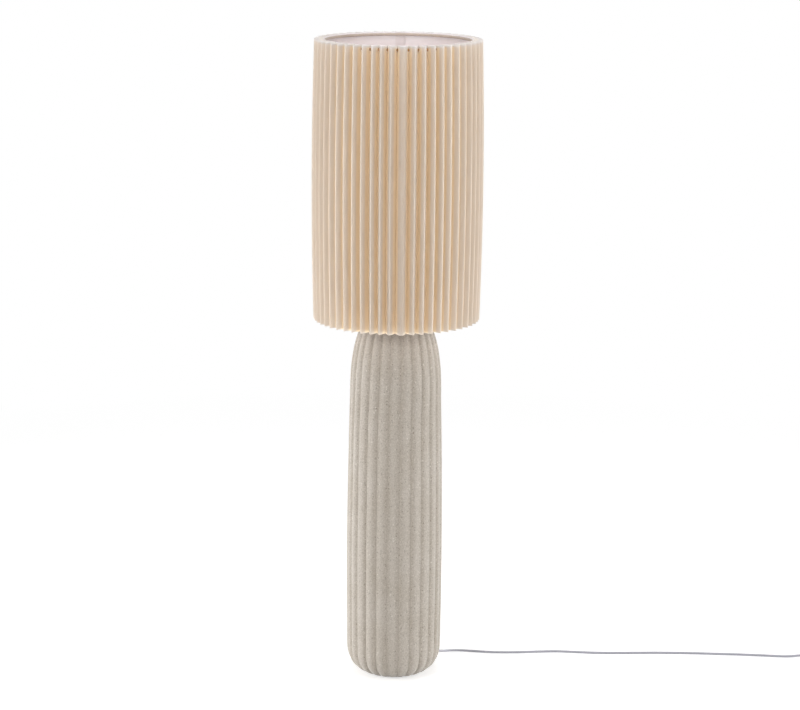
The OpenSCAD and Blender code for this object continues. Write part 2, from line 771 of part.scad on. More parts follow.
module switch_screws() {
  color(steel_c) at_switch() at_screws() {
    translate([0, 0, foot_t + 0.2]) cylinder(r = screw_head, h = 1.3);
    translate([0, 0, foot_t + 0.5]) cylinder(r = screw_shank, h = split_z + 4 - foot_t);
  }
}

module switch_spring() {
  steps = 14;
  low = spring_z + spring_wire;
  high = flange_z - spring_wire;
  path = [for (i = [0:spring_turns * steps])
    let (a = 360 * i / steps, s = i / (spring_turns * steps))
    [spring_r * cos(a), spring_r * sin(a), low + (high - low) * s]];
  color(steel_c) at_switch() tube(path, spring_wire, 6);
}

module switch_bridge() {
  color(brass_c) at_switch() translate([-bridge_l / 2, -bridge_w / 2, bridge_z])
    cube([bridge_l, bridge_w, bridge_t]);
}

module switch_button() {
  crown = 1.2;
  rise = shell_top + button_rise;
  color("darkgray") at_switch() {
    translate([0, 0, bridge_z + bridge_t]) cylinder(r = stem_r, h = flange_z - bridge_z - bridge_t + eps);
    rotate_extrude() polygon([[0, flange_z], [flange_r, flange_z], [flange_r, deck_z],
      [button_r, deck_z], [button_r, rise - 2 * crown], [button_r - 1, rise - crown],
      [button_r / 2, rise - 0.2], [0, rise]]);
  }
}

// Plug, with its pins towards -X

module at_plug() {
  translate([plug_x, plug_y, plug_z]) children();
}

module plug_body() {
  w = plug_w / 2;
  t = plug_t / 2;
  waist = 7.5;
  plan = [[0, -w + 2], [1, -w], [plug_l * 0.6, -w], [plug_l * 0.8, -w + 3], [plug_l, -waist],
    [plug_l, waist], [plug_l * 0.8, w - 3], [plug_l * 0.6, w], [1, w], [0, w - 2]];
  section = [[-w, -t + 3], [-w + 1, -t + 1], [-w + 3, -t], [w - 3, -t], [w - 1, -t + 1], [w, -t + 3],
    [w, t - 3], [w - 1, t - 1], [w - 3, t], [-w + 3, t], [-w + 1, t - 1], [-w, t - 3]];
  color(grey_c) at_plug() difference() {
    union() {
      intersection() {
        translate([0, 0, -t]) linear_extrude(plug_t) polygon(plan);
        rotate([90, 0, 90]) linear_extrude(plug_l) polygon(section);
      }
      for (side = [-1, 1]) translate([-sleeve_l, side * pin_gap / 2, 0]) rotate([0, 90, 0])
        cylinder(r = pin_r, h = sleeve_l + 1);
    }
    for (side = [-1, 1]) translate([-sleeve_l - 1, side * pin_gap / 2, 0]) rotate([0, 90, 0])
      cylinder(r = pin_r - 0.5, h = sleeve_l + 16);
    translate([plug_l - tail_in, 0, 0]) rotate([0, 90, 0]) cylinder(r = tail_r, h = tail_in + 1);
  }
}

module plug_tail() {
  ribs = 5;
  color(grey_c) at_plug() translate([plug_l, 0, 0]) rotate([0, 90, 0]) rotate_extrude()
    polygon(concat([[0, -tail_in], [tail_r, -tail_in], [tail_r, 0], [6.4, 0]],
      [for (i = [0:ribs]) let (z = 1 + (tail_l - 3) * i / ribs, r = 6 - 2.6 * i / ribs)
        each [[r, z], [r - 0.7, z + 1.2]]],
      [[cord_r + 0.3, tail_l], [0, tail_l]]));
}

module plug_pins() {
  color(brass_c) at_plug() for (side = [-1, 1]) translate([0, side * pin_gap / 2, 0])
    rotate([0, -90, 0]) {
      translate([0, 0, sleeve_l]) cylinder(r = pin_r, h = pin_l - sleeve_l - 1);
      translate([0, 0, pin_l - 1]) cylinder(r1 = pin_r, r2 = pin_r - 0.7, h = 1);
      translate([0, 0, -15]) cylinder(r = pin_r - 0.5, h = sleeve_l + 15 + eps);
    }
}

stoneware_body();
felt_pad();
base_plate();
threaded_rod();
top_cap();
neck_tube();
holder_cap();
holder_shell();
holder_insert();
holder_screw_shell();
holder_contact();
holder_terminals();
terminal_screws();
clamp_ring();
bulb_glass();
bulb_cap();
bulb_contact();
lower_frame();
upper_ring();
shade_liner();
shade_pleats();
inner_flex();
strain_relief();
cord_run();
coil_lead();
cord_coil();
plug_lead();
switch_lower_shell();
switch_upper_shell();
switch_feet();
switch_sleeves();
switch_contacts();
switch_screws();
switch_spring();
switch_bridge();
switch_button();
plug_body();
plug_tail();
plug_pins();
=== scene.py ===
import math

import bpy
import numpy as np
from mathutils import Matrix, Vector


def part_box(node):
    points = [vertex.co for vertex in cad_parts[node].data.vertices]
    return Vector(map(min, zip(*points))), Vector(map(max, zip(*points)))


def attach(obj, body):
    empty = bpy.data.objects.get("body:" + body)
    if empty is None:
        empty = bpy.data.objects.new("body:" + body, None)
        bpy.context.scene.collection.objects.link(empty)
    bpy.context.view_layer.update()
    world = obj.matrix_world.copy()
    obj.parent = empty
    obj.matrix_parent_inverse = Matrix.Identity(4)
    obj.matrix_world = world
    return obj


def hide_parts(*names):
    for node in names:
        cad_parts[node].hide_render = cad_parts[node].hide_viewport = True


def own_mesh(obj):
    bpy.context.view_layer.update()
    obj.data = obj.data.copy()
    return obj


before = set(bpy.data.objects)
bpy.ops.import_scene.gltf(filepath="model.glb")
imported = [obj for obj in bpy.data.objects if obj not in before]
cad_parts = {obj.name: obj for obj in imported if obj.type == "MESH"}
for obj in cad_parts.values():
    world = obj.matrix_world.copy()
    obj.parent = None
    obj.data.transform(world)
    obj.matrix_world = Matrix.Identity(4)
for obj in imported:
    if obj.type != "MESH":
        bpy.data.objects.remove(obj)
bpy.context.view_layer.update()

# Camera
# A long lens stands four metres in front of the lamp, 0.37 m above the shade's top, and looks
# 13 degrees down. It comes first, because the cords are judged by what it sees.
camera_data = bpy.data.cameras.new("lamp_camera")
camera_data.lens = 103.5
camera_data.sensor_width = 36.0
camera = bpy.data.objects.new("lamp_camera", camera_data)
bpy.context.scene.collection.objects.link(camera)
camera_place = (0.0073, -4.051, 1.537)
camera_pitch, camera_roll = 13.01, 0.5
camera.matrix_world = (Matrix.Translation(camera_place)
    @ Matrix.Rotation(math.radians(90 - camera_pitch), 4, "X")
    @ Matrix.Rotation(math.radians(camera_roll), 4, "Z"))
bpy.context.scene.camera = camera
bpy.context.scene.view_settings.view_transform = "Standard"

# Cord over the floor
# It is a thin round mains cord with a smooth grey sheath, drawn out of the stoneware's foot
# through a soft strain relief, and it lies in loose bends until it enters the foot switch.
MM = 0.001


def smooth_curve(route, steps):
    """Points on one smooth curve through every point of the route.

    A share t of the way from b to c, with a before them and d after them, the point is half of
    2b + (c - a)t + (2a - 5b + 4c - d)t^2 + (3b - a - 3c + d)t^3, and the ends are mirrored.
    """
    route = np.array(route, float)
    long = np.vstack([2 * route[0] - route[1], route, 2 * route[-1] - route[-2]])
    a, b, c, d = (long[k:len(long) - 3 + k, None, :] for k in range(4))
    t = (np.arange(steps) / steps)[None, :, None]
    line = (2 * b + (c - a) * t + (2 * a - 5 * b + 4 * c - d) * t ** 2
        + (3 * b - a - 3 * c + d) * t ** 3) / 2
    return np.vstack([line.reshape(-1, 3), route[-1]])


def length_along(line):
    """The distance from a line's start to each of its points, along the line."""
    steps = np.linalg.norm(np.diff(line, axis=0), axis=1)
    return np.concatenate([[0], np.cumsum(steps)])


def grid_piece(name, points, rows_close=False, columns_close=True, ends=False,
        across=None, along=None, left_out=None, amounts=None, sharp=40):
    """A mesh whose corners are a grid: points[i, j] is joined to points[i + 1, j] and [i, j + 1].

    ends lays a flat face on the first and on the last row. across and along are the pattern's
    coordinates of the columns and rows, left_out marks quads that are cut away, and amounts are
    named numbers of each corner. The faces turn outwards: six times the closed volume is the sum
    of a . (b x c) over the triangles, and where it is below nought the corners' order turns.
    """
    rows, columns = points.shape[:2]
    wide = columns if columns_close else columns - 1
    high = rows if rows_close else rows - 1
    i, j = np.meshgrid(np.arange(high), np.arange(wide), indexing="ij")
    up, beside = (i + 1) % rows, (j + 1) % columns
    quads = np.stack([i * columns + j, i * columns + beside,
        up * columns + beside, up * columns + j], axis=-1).reshape(-1, 4)
    across = np.linspace(0, 1, wide + 1) if across is None else np.asarray(across, float)
    along = np.linspace(0, 1, high + 1) if along is None else np.asarray(along, float)
    u = np.stack([across[j], across[j + 1], across[j + 1], across[j]], axis=-1).reshape(-1, 4)
    v = np.stack([along[i], along[i], along[i + 1], along[i + 1]], axis=-1).reshape(-1, 4)
    if left_out is not None:
        kept = ~left_out.reshape(-1)
        quads, u, v = quads[kept], u[kept], v[kept]
    corners = points.reshape(-1, 3) - points.reshape(-1, 3).mean(axis=0)
    a, b, c, d = (corners[quads[:, k]] for k in range(4))
    volume = (np.cross(b, c) * a).sum() + (np.cross(c, d) * a).sum()
    rings = []
    if ends:
        rings = [np.arange(columns)[::-1], (rows - 1) * columns + np.arange(columns)]
        for ring in rings:
            middle = corners[ring].mean(axis=0)
            volume += (np.cross(corners[ring], np.roll(corners[ring], -1, axis=0)) @ middle).sum()
    if volume < 0:
        quads, u, v = quads[:, ::-1], u[:, ::-1], v[:, ::-1]
        rings = [ring[::-1] for ring in rings]
    mesh = bpy.data.meshes.new(name)
    mesh.from_pydata((points.reshape(-1, 3)).tolist(), [],
        quads.tolist() + [ring.tolist() for ring in rings])
    pattern = mesh.uv_layers.new(name="pattern")
    flat = np.zeros((len(mesh.loops), 2), np.float32)
    flat[:quads.size] = np.stack([u.reshape(-1), v.reshape(-1)], axis=-1)
    pattern.data.foreach_set("uv", flat.reshape(-1))
    for label, values in (amounts or {}).items():
        mesh.attributes.new(label, "FLOAT", "POINT").data.foreach_set(
            "value", np.ascontiguousarray(values, np.float32).reshape(-1))
    mesh.shade_smooth()
    mesh.set_sharp_from_angle(angle=math.radians(sharp))
    piece = bpy.data.objects.new(name, mesh)
    bpy.context.scene.collection.objects.link(piece)
    return piece


def tube_points(line, radius, sides):
    """The rings of a round tube: radius * (cos(a) * u + sin(a) * v) about each point of the line.

    w is the line's way at the point, u = w x up is level and v = u x w.
    """
    way = np.gradient(line, axis=0)
    way /= np.linalg.norm(way, axis=1, keepdims=True)
    level = np.cross(way, [0.0, 0.0, 1.0])
    level /= np.linalg.norm(level, axis=1, keepdims=True)
    over = np.cross(level, way)
    a = (2 * math.pi * np.arange(sides) / sides)[None, :, None]
    radius = np.broadcast_to(radius, len(line))[:, None, None]
    circle = np.cos(a) * level[:, None, :] + np.sin(a) * over[:, None, :]
    return line[:, None, :] + radius * circle


def put(tree, kind, sockets=None, **settings):
    """One node: settings are its own properties, and sockets its inputs by name or number.

    An input that is given another node's output is linked to it, and any other is set.
    """
    node = tree.nodes.new("ShaderNode" + kind)
    for name, value in settings.items():
        setattr(node, name, value)
    for name, value in (sockets or {}).items():
        if isinstance(value, bpy.types.NodeSocket):
            tree.links.new(value, node.inputs[name])
        else:
            node.inputs[name].default_value = value
    return node


def ranged(tree, value, low, high, first=0.0, last=1.0):
    """value with low to high carried to first to last, and held at those two."""
    return put(tree, "MapRange", {0: value, 1: low, 2: high, 3: first, 4: last}).outputs[0]


def tinted(tree, share, first, second):
    """The first colour with a share of the second laid over it."""
    return put(tree, "Mix", {0: share, 6: first, 7: second}, data_type="RGBA").outputs[2]


def object_place(tree):
    """Where the surface is, in the piece's own coordinates."""
    return put(tree, "TexCoord").outputs["Object"]


def noise(tree, place, scale, detail=2.0, roughness=0.5):
    """A cloudy pattern's value at a place, between nought and one."""
    return put(tree, "TexNoise", {"Vector": place, "Scale": scale, "Detail": detail,
        "Roughness": roughness}).outputs[0]


def bumped(tree, height, distance, strength=1.0):
    """The surface's normal, with height of nought to one standing distance metres high."""
    return put(tree, "Bump", {"Height": height, "Distance": distance,
        "Strength": strength}).outputs[0]


def paint(red, green, blue):
    """A colour as it is seen, nought to 255 a channel, as the amounts of light it sends back.

    A channel c of nought to one sends back ((c + 0.055) / 1.055) ^ 2.4.
    """
    seen = np.array([red, green, blue]) / 255
    return (*(((seen + 0.055) / 1.055) ** 2.4).tolist(), 1.0)


def start_material(name, colour, **numbers):
    """A material with one shader, its numbers set on its own sockets: (material, tree, shader)."""
    material = bpy.data.materials.new(name)
    material.use_nodes = True
    shader = material.node_tree.nodes["Principled BSDF"]
    shader.inputs["Base Color"].default_value = colour
    for label, value in numbers.items():
        shader.inputs[label.replace("_", " ")].default_value = value
    return material, material.node_tree, shader


def feed(tree, shader, **outputs):
    """Links outputs to the shader's inputs of those names."""
    for label, output in outputs.items():
        tree.links.new(output, shader.inputs[label.replace("_", " ")])


cord_width = 4.2 * MM
floor_route = [(92, 73, 9.2), (106, 84.5, 5.8), (123, 92, 3.5), (143, 93.5, 2.3), (168, 90, 2.1),
    (195, 87, 2.1), (235, 88, 2.1), (275, 92.5, 2.1), (308, 95, 2.1), (338, 93, 2.1),
    (370, 89.5, 2.1), (410, 88.5, 2.1), (455, 90, 2.1), (510, 92, 2.1), (560, 91.5, 2.1),
    (610, 89, 2.1), (660, 86, 2.1), (705, 82, 2.1), (745, 78, 2.2), (768, 76.4, 4.6),
    (784, 76, 6.5), (798, 76, 6.5), (812, 76, 6.5)]
relief_tip = (78.75, 61.52, 13.79)
floor_line = smooth_curve(np.array([relief_tip] + floor_route) * MM, steps=12)

sheath, tree, shader = start_material("cord_sheath", paint(168, 170, 178), Roughness=0.42,
    Specular_IOR_Level=0.5)
sheath_way = put(tree, "UVMap", uv_map="pattern").outputs[0]
stretched = put(tree, "Mapping", {"Vector": sheath_way, "Scale": (40.0, 6.0, 1.0)}).outputs[0]
drawn = noise(tree, stretched, 2.0, 3.0)
handled = noise(tree, object_place(tree), 30.0, 4.0, 0.6)
feed(tree, shader,
    Base_Color=tinted(tree, ranged(tree, handled, 0.4, 0.75, 0.0, 0.4),
        paint(174, 174, 184), paint(153, 153, 163)),
    Roughness=ranged(tree, handled, 0.35, 0.7, 0.36, 0.5),
    Normal=bumped(tree, drawn, 0.00004, 0.5))


def lay_cord(name, line):
    """A cord's sheath along a line, riding on the column."""
    around = 16
    cord = grid_piece(name, tube_points(line, cord_width / 2, sides=around), ends=True,
        along=length_along(line))
    cord.data.materials.append(sheath)
    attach(cord, "column")
    return cord


floor_cord = lay_cord("cord_over_floor", floor_line)
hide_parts("cord_run")

# Cord from the switch to the plug
# The rest of the same cord, put away in a round coil of two layers beside the switch: it winds
# inwards on the floor, steps up and winds out again to the plug, which lies beside the coil.
coil_turns, coil_reach, coil_pitch, layer_rise = 6.5, 32.2, 4.7, 4.65
coil_middle = (922.0, 108.2)
coil_steps, climb_turns = 48, 0.5
# The coil's radius falls by the pitch each turn to the middle of its turns and then rises again,
# and its height climbs one layer there, along half a wave of a cosine
turn = np.arange(round(coil_turns * coil_steps) + 1) / coil_steps
coil_r = coil_reach - coil_pitch * (coil_turns / 2 - abs(turn - coil_turns / 2))
coil_a = 2 * math.pi * turn - math.pi / 2
step_up = np.clip((turn - (coil_turns - climb_turns) / 2) / climb_turns, 0, 1)
coil_z = cord_width / 2 / MM + layer_rise * (1 - np.cos(math.pi * step_up)) / 2
coil_line = np.stack([coil_middle[0] + coil_r * np.cos(coil_a),
    coil_middle[1] + coil_r * np.sin(coil_a), coil_z], axis=-1)
into_coil = [(878, 76, 6.5), (892, 76, 6.5), (900, 76, 5.6), (908.8, 76, 2.9), (913.8, 76, 2.1),
    (917.8, 76, 2.1)]
out_of_coil = [(917.8, 140.4, 6.75), (912.8, 140.4, 6.75), (903.8, 140.4, 5.85),
    (893.8, 140.4, 5.25), (884, 140.4, 5.85), (876, 140.4, 6.85), (872, 140.4, 6.85)]
coil_line = np.vstack([smooth_curve(into_coil, steps=10), coil_line,
    smooth_curve(out_of_coil, steps=10)]) * MM
coiled_cord = lay_cord("cord_to_plug", coil_line)
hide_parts("coil_lead", "cord_coil", "plug_lead")

# Stoneware column
# The hollow body is thrown and pressed from a coarse pale clay, with ribs drawn down its side,
# and fired without glaze: the surface is dry, sandy and speckled. Its ridges are painted paler,
# as rubbed wear and a painted highlight, and its grooves darker, as painted shade.
body_r, body_top, belly_z, foot_in, neck_in = 87.5, 695.0, 250.0, 1.0, 4.6
edge_h, edge_power, sole_r, pad_t = 60.0, 2.7, 20.0, 2.0
shoulder_z, shoulder_power, top_r, wall = 527.0, 2.5, 28.0, 9.0
seat_r, ledge_r, ledge_z, floor_z, ceiling_z = 38.0, 32.0, 7.0, 14.0, 686.0
flat_ring_r, rod_hole_r = 16.0, 5.5
foot_rows, side_rows, shoulder_rows, hollow_rows = 26, 92, 44, 22
rib_count, rib_d, rib_foot, rib_turn = 25, 3.4, 2.4, 5.7
turn_drift, depth_drift = 0.25, 0.07
rib_lean, lean_from, lean_over = 1.7, 470.0, 110.0
wander_turn, wander_wave, wander_step = 0.22, 95.0, 2.1
uneven_d, uneven_wave, uneven_lobes, uneven_from_r = 0.12, 41.0, 3, 45.0


def column_side(z):
    """The side's radius at a height.

    It is body_r at the belly, less foot_in * share^2 below it and neck_in * share^1.5 above it.
    """
    below = np.clip((belly_z - z) / (belly_z - edge_h), 0, 1)
    above = np.clip((z - belly_z) / (shoulder_z - belly_z), 0, 1)
    return body_r - foot_in * below ** 2 - neck_in * above ** 1.5


def eased(share):
    """A share of nought to one that starts and ends gently: 3s^2 - 2s^3."""
    return share ** 2 * (3 - 2 * share)


def reckon(tree, operation, first, second):
    """Two numbers taken together, as the operation says."""
    return put(tree, "Math", {0: first, 1: second}, operation=operation).outputs[0]


def drift(tree, value, first=0.0, last=1.0):
    """A noise's value, with the 0.35 to 0.65 where most of it lies carried to first to last."""
    return ranged(tree, value, 0.35, 0.65, first, last)


# The outline is the flank between two quarters of a superellipse, where the shares of the width
# and of the height, each to the power, add up to one. Across a rib, the groove's depth times
# (2 * share - 1)^2 comes off the radius, so the grooves are sharp and the ridges round
foot_w, shoulder_w = float(column_side(edge_h)), float(column_side(shoulder_z))
dome_share = (1 - (top_r / shoulder_w) ** shoulder_power) ** (1 / shoulder_power)
dome_h = (body_top - shoulder_z) / dome_share
a = np.linspace(math.acos((1 - pad_t / edge_h) ** (edge_power / 2)), math.pi / 2, foot_rows)
foot = np.stack([sole_r + (foot_w - sole_r) * np.sin(a) ** (2 / edge_power),
    edge_h * (1 - np.cos(a) ** (2 / edge_power))], axis=-1)
z = np.linspace(edge_h, shoulder_z, side_rows)[1:]
side = np.stack([column_side(z), z], axis=-1)
a = np.linspace(0, math.acos((top_r / shoulder_w) ** (shoulder_power / 2)), shoulder_rows)[1:]
shoulder = np.stack([shoulder_w * np.cos(a) ** (2 / shoulder_power),
    shoulder_z + dome_h * np.sin(a) ** (2 / shoulder_power)], axis=-1)
outside = np.vstack([foot, side, shoulder])
z = np.linspace(ceiling_z, floor_z, hollow_rows)
hollow = np.stack([np.interp(z, outside[:, 1], outside[:, 0]) - wall, z], axis=-1)
rod_hole = [(flat_ring_r, body_top), (rod_hole_r, body_top), (rod_hole_r, ceiling_z)]
sole = [(ledge_r, floor_z), (ledge_r, ledge_z), (seat_r, ledge_z), (seat_r, pad_t),
    (seat_r + 2, pad_t)]
profile = np.vstack([outside, rod_hole, hollow, sole])
columns_a_rib = 14
turn = np.arange(rib_count * columns_a_rib) / columns_a_rib
hand = np.random.default_rng(11)
rib_shift = hand.normal(0, turn_drift, rib_count)
rib_share = 1 + hand.normal(0, depth_drift, rib_count)
in_rib = turn % 1
of_rib = turn.astype(int)
groove_turn = 360 / rib_count * np.arange(rib_count) + rib_shift
next_turn = np.append(groove_turn[1:], 360 + groove_turn[0])
degrees = groove_turn[of_rib] + (next_turn - groove_turn)[of_rib] * in_rib
r, z = profile[:, :1], profile[:, 1:]
outer = (np.arange(len(profile)) < len(outside))[:, None]
groove = (2 * in_rib - 1) ** 2
lean = rib_lean * eased(np.clip((z - lean_from) / lean_over, 0, 1))
wander = wander_turn * np.sin(z / wander_wave + wander_step * of_rib[None, :]) * (1 - groove)
angle = np.radians(rib_turn - 90 + degrees[None, :] + lean + wander)
share = rib_share[of_rib] * (1 - in_rib) + rib_share[(of_rib + 1) % rib_count] * in_rib
depth = rib_d * r / body_r + rib_foot * np.clip(1 - z / edge_h, 0, 1) ** 2
ribbed = r - np.where(outer, depth * (groove * share)[None, :], 0)
uneven = uneven_d * np.sin(z / uneven_wave + uneven_lobes * np.radians(degrees)[None, :])
ribbed = ribbed + uneven * outer * (r > uneven_from_r)
points = np.stack([ribbed * np.cos(angle), ribbed * np.sin(angle),
    np.broadcast_to(z, ribbed.shape)], axis=-1) * MM
ridge = np.where(outer, 1 - groove[None, :], 0.5) * np.ones_like(ribbed)
column = grid_piece("stoneware_column", points, rows_close=True, sharp=60,
    along=np.append(profile[:, 1], profile[0, 1]) * MM, amounts={"ridge": ridge})
stoneware, tree, shader = start_material("stoneware", paint(206, 198, 187), Roughness=0.9,
    Specular_IOR_Level=0.25, Diffuse_Roughness=0.6, Sheen_Weight=0.25, Sheen_Roughness=0.45,
    Sheen_Tint=(0.85, 0.93, 1.0, 1.0))
place = object_place(tree)
on_ridge = put(tree, "Attribute", attribute_name="ridge").outputs["Fac"]
clouds = noise(tree, place, 14.0, 3.0)
sand = noise(tree, place, 620.0, 3.0, 0.65)
grog = noise(tree, place, 240.0, 2.0, 0.6)
spots = put(tree, "TexVoronoi", {"Vector": place, "Scale": 210.0}).outputs
chosen = put(tree, "SeparateColor", {0: spots["Color"]}).outputs
speck = reckon(tree, "MULTIPLY", ranged(tree, spots["Distance"], 0.16, 0.3, 1.0, 0.0),
    ranged(tree, chosen[0], 0.6, 0.66))
flecks = put(tree, "TexVoronoi", {"Vector": place, "Scale": 150.0}).outputs
picked = put(tree, "SeparateColor", {0: flecks["Color"]}).outputs
fleck = reckon(tree, "MULTIPLY", ranged(tree, flecks["Distance"], 0.12, 0.24, 1.0, 0.0),
    ranged(tree, picked[1], 0.8, 0.84))
clay = tinted(tree, drift(tree, clouds), paint(193, 184, 172), paint(201, 193, 183))
clay = tinted(tree, ranged(tree, grog, 0.4, 0.6, 0.3, 0.0), clay, paint(164, 153, 139))
clay = tinted(tree, ranged(tree, sand, 0.36, 0.5, 0.5, 0.0), clay, paint(160, 149, 135))
clay = tinted(tree, ranged(tree, sand, 0.54, 0.68, 0.0, 0.6), clay, paint(229, 222, 211))
clay = tinted(tree, reckon(tree, "MULTIPLY", speck, 0.6), clay, paint(128, 117, 103))
clay = tinted(tree, reckon(tree, "MULTIPLY", fleck, 0.6), clay, paint(238, 233, 224))
# Painted shade: the grooves are darkened. Rubbed wear and a painted highlight: the ridges are made
# paler.
clay = tinted(tree, ranged(tree, on_ridge, 0.0, 0.3, 0.3, 0.0), clay, paint(172, 162, 149))
clay = tinted(tree, ranged(tree, on_ridge, 0.6, 1.0, 0.0, 0.2), clay, paint(224, 218, 209))
height = reckon(tree, "ADD", reckon(tree, "MULTIPLY", sand, 0.6),
    reckon(tree, "MULTIPLY", grog, 0.6))
height = reckon(tree, "SUBTRACT", height, reckon(tree, "MULTIPLY", speck, 0.5))
feed(tree, shader, Base_Color=clay, Normal=bumped(tree, height, 0.0006, 0.7))
column.data.materials.append(stoneware)
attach(column, "column")
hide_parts("stoneware_body")

# Felt pad, base plate and rod
# The foot stands on a pad of pressed grey felt. Above it, a hollow threaded rod is screwed into
# the boss of a zinc plated plate and draws the plate up against the ledge in the foot.


def finish_nodes(material, *names):
    """Gives solids this material in place of the plain one that they came with."""
    for name in names:
        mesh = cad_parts[name].data
        mesh.materials.clear()
        mesh.materials.append(material)


felt, tree, shader = start_material("felt", paint(104, 101, 97), Roughness=1.0,
    Specular_IOR_Level=0.1, Sheen_Weight=0.4, Sheen_Roughness=0.6)
place = object_place(tree)
fibres = put(tree, "TexNoise", {"Vector": place, "Scale": 900.0, "Detail": 4.0,
    "Distortion": 3.0}).outputs[0]
feed(tree, shader,
    Base_Color=tinted(tree, drift(tree, fibres), paint(88, 85, 81), paint(132, 128, 122)),
    Normal=bumped(tree, fibres, 0.0004, 0.8))
finish_nodes(felt, "felt_pad")


def start_effect(name, inputs, outputs):
    """An effect for more than one material: (group, its inputs' values, its outputs' sockets).

    inputs and outputs give the kind of each socket by its name.
    """
    group = bpy.data.node_groups.new(name, "ShaderNodeTree")
    for way, sockets in (("INPUT", inputs), ("OUTPUT", outputs)):
        for label, kind in sockets.items():
            group.interface.new_socket(label, in_out=way, socket_type="NodeSocket" + kind)
    asked = group.nodes.new("NodeGroupInput").outputs
    return group, asked, group.nodes.new("NodeGroupOutput").inputs


metal_wear, asked, given = start_effect("metal_wear",
    {"Line Scale": "Float", "Patch Scale": "Float"},
    {"Tone": "Float", "Scratch": "Float", "Normal": "Vector"})
place = object_place(metal_wear)
lathe_way = put(metal_wear, "Mapping", {"Vector": place, "Scale": (120.0, 120.0, 2400.0)})
lines = noise(metal_wear, lathe_way.outputs[0], asked["Line Scale"], 3.0)
metal_wear.links.new(noise(metal_wear, place, asked["Patch Scale"], 4.0, 0.6), given["Tone"])
metal_wear.links.new(ranged(metal_wear, lines, 0.3, 0.7), given["Scratch"])
metal_wear.links.new(bumped(metal_wear, lines, 0.00002, 0.6), given["Normal"])


def metal(name, pale, dark, smooth, dull):
    """A turned or pressed metal: its colour and gloss drift between two finishes."""
    material, tree, shader = start_material(name, pale, Metallic=1.0, Roughness=smooth)
    worn = put(tree, "Group", {"Line Scale": 1.0, "Patch Scale": 90.0},
        node_tree=metal_wear).outputs
    feed(tree, shader,
        Base_Color=tinted(tree, drift(tree, worn["Tone"]), pale, dark),
        Roughness=ranged(tree, worn["Scratch"], 0.0, 1.0, smooth, dull),
        Normal=worn["Normal"])
    return material


zinc = metal("zinc_plate", paint(200, 200, 202), paint(172, 172, 170), 0.28, 0.42)
finish_nodes(zinc, "base_plate", "threaded_rod")

# Cap and neck tube
# A turned brass cap closes the column's flat top, and a short brass tube over the rod carries
# the lampholder clear of it. Both are satin finished and lacquered.
brass = metal("satin_brass", paint(222, 190, 130), paint(202, 166, 104), 0.24, 0.38)
finish_nodes(brass, "top_cap", "neck_tube")

# Lampholder
# A white moulded cap and threaded shell hold a porcelain insert with its brass screw shell,
# centre contact and terminals. The terminals' screws are zinc plated.
moulded_skin, asked, given = start_effect("moulded_skin",
    {"Grain Scale": "Float", "Flow Scale": "Float"}, {"Cloud": "Float", "Normal": "Vector"})
place = object_place(moulded_skin)
grain = noise(moulded_skin, place, asked["Grain Scale"], 2.0, 0.6)
moulded_skin.links.new(noise(moulded_skin, place, asked["Flow Scale"], 3.0), given["Cloud"])
moulded_skin.links.new(bumped(moulded_skin, grain, 0.00003, 0.6), given["Normal"])


def plastic(name, pale, dark, smooth, dull, **numbers):
    """A moulded plastic with a fine even skin, its colour and gloss drifting a little."""
    material, tree, shader = start_material(name, pale, Roughness=smooth, **numbers)
    skin = put(tree, "Group", {"Grain Scale": 1600.0, "Flow Scale": 60.0},
        node_tree=moulded_skin).outputs
    feed(tree, shader,
        Base_Color=tinted(tree, drift(tree, skin["Cloud"]), pale, dark),
        Roughness=drift(tree, skin["Cloud"], smooth, dull),
        Normal=skin["Normal"])
    return material


white_plastic = plastic("white_plastic", paint(238, 236, 230), paint(230, 227, 219), 0.3, 0.4)
finish_nodes(white_plastic, "holder_cap", "holder_shell")
porcelain = plastic("porcelain", paint(240, 238, 232), paint(231, 228, 220), 0.12, 0.2,
    Coat_Weight=0.5, Coat_Roughness=0.05)
finish_nodes(porcelain, "holder_insert")
finish_nodes(brass, "holder_screw_shell", "holder_contact", "holder_terminals")
finish_nodes(zinc, "terminal_screws")

# Clamp ring
# A white moulded ring with finger notches screws down on the lampholder's thread and clamps
# the shade's fitting against the holder's shoulder.
finish_nodes(white_plastic, "clamp_ring")

# Bulb
# An opal glass globe on a nickel plated screw cap. Below the cap, the insulator and the brass
# contact at its tip are one cone.
opal, tree, shader = start_material("opal_glass", paint(247, 246, 242), Roughness=0.12,
    Subsurface_Weight=0.35, Subsurface_Scale=0.01, Coat_Weight=0.4, Coat_Roughness=0.03)
place = object_place(tree)
thick = noise(tree, place, 25.0, 2.0)
feed(tree, shader,
    Base_Color=tinted(tree, drift(tree, thick), paint(248, 247, 243), paint(241, 239, 233)),
    Roughness=ranged(tree, noise(tree, place, 70.0, 4.0, 0.6), 0.4, 0.7, 0.1, 0.2))
finish_nodes(opal, "bulb_glass")
nickel = metal("nickel_plate", paint(208, 206, 200), paint(186, 183, 176), 0.2, 0.34)
finish_nodes(nickel, "bulb_cap")
finish_nodes(brass, "bulb_contact")

# Shade's lower frame
# Three straight steel arms rise from the wire ring in the shade's foot to the flat fitting ring.
# The frame is welded and powder coated white.
coated = plastic("white_powder_coat", paint(236, 234, 229), paint(228, 225, 218), 0.45, 0.6)
finish_nodes(coated, "lower_frame")

# Shade's upper ring
# A steel wire ring, wound with pale cotton tape so that the liner and the cloth can be glued to
# it. The tape's edge makes a small step at each turn.
ring_r, tape_in, tape_up, ring_z = 129.5, 1.45, 2.3, 1166.0
tape_turns, tape_t, tape_columns, ring_sides = 96, 0.16, 8, 12
